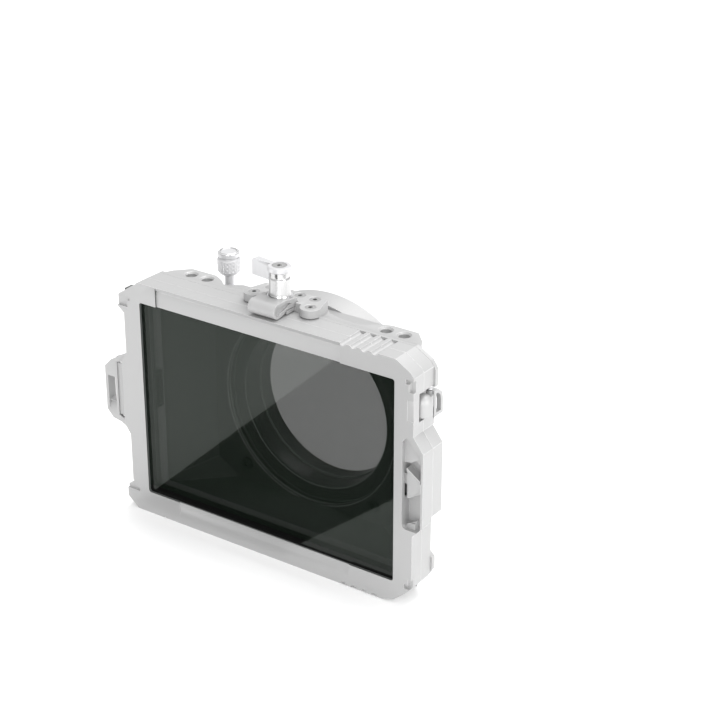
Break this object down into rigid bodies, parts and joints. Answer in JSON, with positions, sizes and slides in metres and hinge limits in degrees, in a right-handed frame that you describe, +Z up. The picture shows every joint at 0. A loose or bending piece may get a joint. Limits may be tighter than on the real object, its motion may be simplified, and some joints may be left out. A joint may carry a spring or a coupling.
{
  "type": "matte box lens hood",
  "caption": "Matte box lens hood: stacked filter frames, filter in a sliding tray, top flag hook with clamp lever, side latch, and a split collar that clamps an adapter ring on the lens.",
  "frame": {"origin": "centre of the shoulder where the adapter ring meets the lens, on the lens axis", "axes": "+Y back along the lens axis towards the camera, +Z up, +X to the right seen from the front"},
  "size_m": [0.1793, 0.0555, 0.1389],
  "materials": {
    "shell": "satin, fine bead-blasted",
    "trap": "matt black",
    "plate": "matt black, slightly rough",
    "glass": "polished, coated",
    "foam": "matt foam",
    "steel": "bright",
    "polished": "polished",
    "black_steel": "blackened",
    "knob": "knurled, satin",
    "ring": "black anodised"
  },
  "bodies": {
    "housing": {"rear_housing": "shell", "top_bar": "shell", "foot_bar": "shell", "bar_screws": "black_steel", "housing_dowels": "steel", "light_seal": "foam", "hood_liner": "trap", "back_plate": "plate", "back_plate_screws": "black_steel", "clamp_base": "shell", "clamp_base_screws": "polished", "hook_spring": "steel", "latch_pin": "steel", "latch_spring": "steel", "lens_collar": "shell", "barrel_nut": "steel"},
    "second_frame": {"second_frame": "shell", "second_frame_clip": "black_steel", "second_frame_dowels": "steel"},
    "front_frame": {"front_frame": "shell"},
    "tray": {"filter_tray": "trap", "tray_handle": "shell", "handle_screws": "steel", "filter_glass": "glass", "filter_gasket": "foam"},
    "tray_lock": {"tray_lock": "shell"},
    "hook": {"flag_hook": "shell", "lever_washer": "steel"},
    "lever": {"lever_post": "polished", "lever_wing": "knob", "lever_screw": "polished"},
    "latch": {"side_latch": "shell"},
    "stem_carrier": {"stem_washer": "steel"},
    "clamp_screw": {"clamp_stem": "knob", "clamp_knob": "knob", "knob_cap": "knob"},
    "lens_ring": {"adapter_ring": "ring", "ring_seal": "foam"}
  },
  "joints": [
    {"name": "second_frame_slide", "type": "slide", "parent": "housing", "child": "second_frame", "axis": [0, -1, 0], "range_m": [0, 0.012]},
    {"name": "front_frame_slide", "type": "slide", "parent": "second_frame", "child": "front_frame", "axis": [0, -1, 0], "range_m": [0, 0.012]},
    {"name": "tray_slide", "type": "slide", "parent": "front_frame", "child": "tray", "axis": [-1, 0, 0], "range_m": [0, 0.15]},
    {"name": "tray_lock_slide", "type": "slide", "parent": "front_frame", "child": "tray_lock", "axis": [0, 0, -1], "range_m": [0, 0.006]},
    {"name": "hook_lift", "type": "slide", "parent": "housing", "child": "hook", "axis": [0, 0, 1], "range_m": [0, 0.0015]},
    {"name": "lever_turn", "type": "hinge", "parent": "hook", "child": "lever", "pos_m": [0, -0.038, 0.062], "axis": [0, 0, 1], "range_deg": [0, 180]},
    {"name": "latch_swing", "type": "hinge", "parent": "housing", "child": "latch", "pos_m": [0.0752, -0.0336, 0.035], "axis": [0, 0, 1], "range_deg": [0, 30], "stiffness_Nm_per_rad": 0.05, "springref_deg": -17.19},
    {"name": "stem_travel", "type": "slide", "parent": "housing", "child": "stem_carrier", "axis": [0, 0, 1], "range_m": [0, 0.0012]},
    {"name": "knob_turn", "type": "hinge", "parent": "stem_carrier", "child": "clamp_screw", "pos_m": [-0.0526, -0.008, 0.03], "axis": [0, 0, 1], "range_deg": [0, 540]},
    {"name": "ring_turn", "type": "hinge", "parent": "housing", "child": "lens_ring", "pos_m": [0, 0, 0], "axis": [0, 1, 0], "continuous": true}
  ],
  "couplings": [
    {"joint": "lever_turn", "follows": "hook_lift", "rad_per_m": 2094.4},
    {"joint": "knob_turn", "follows": "stem_travel", "rad_per_m": 7853.9}
  ]
}
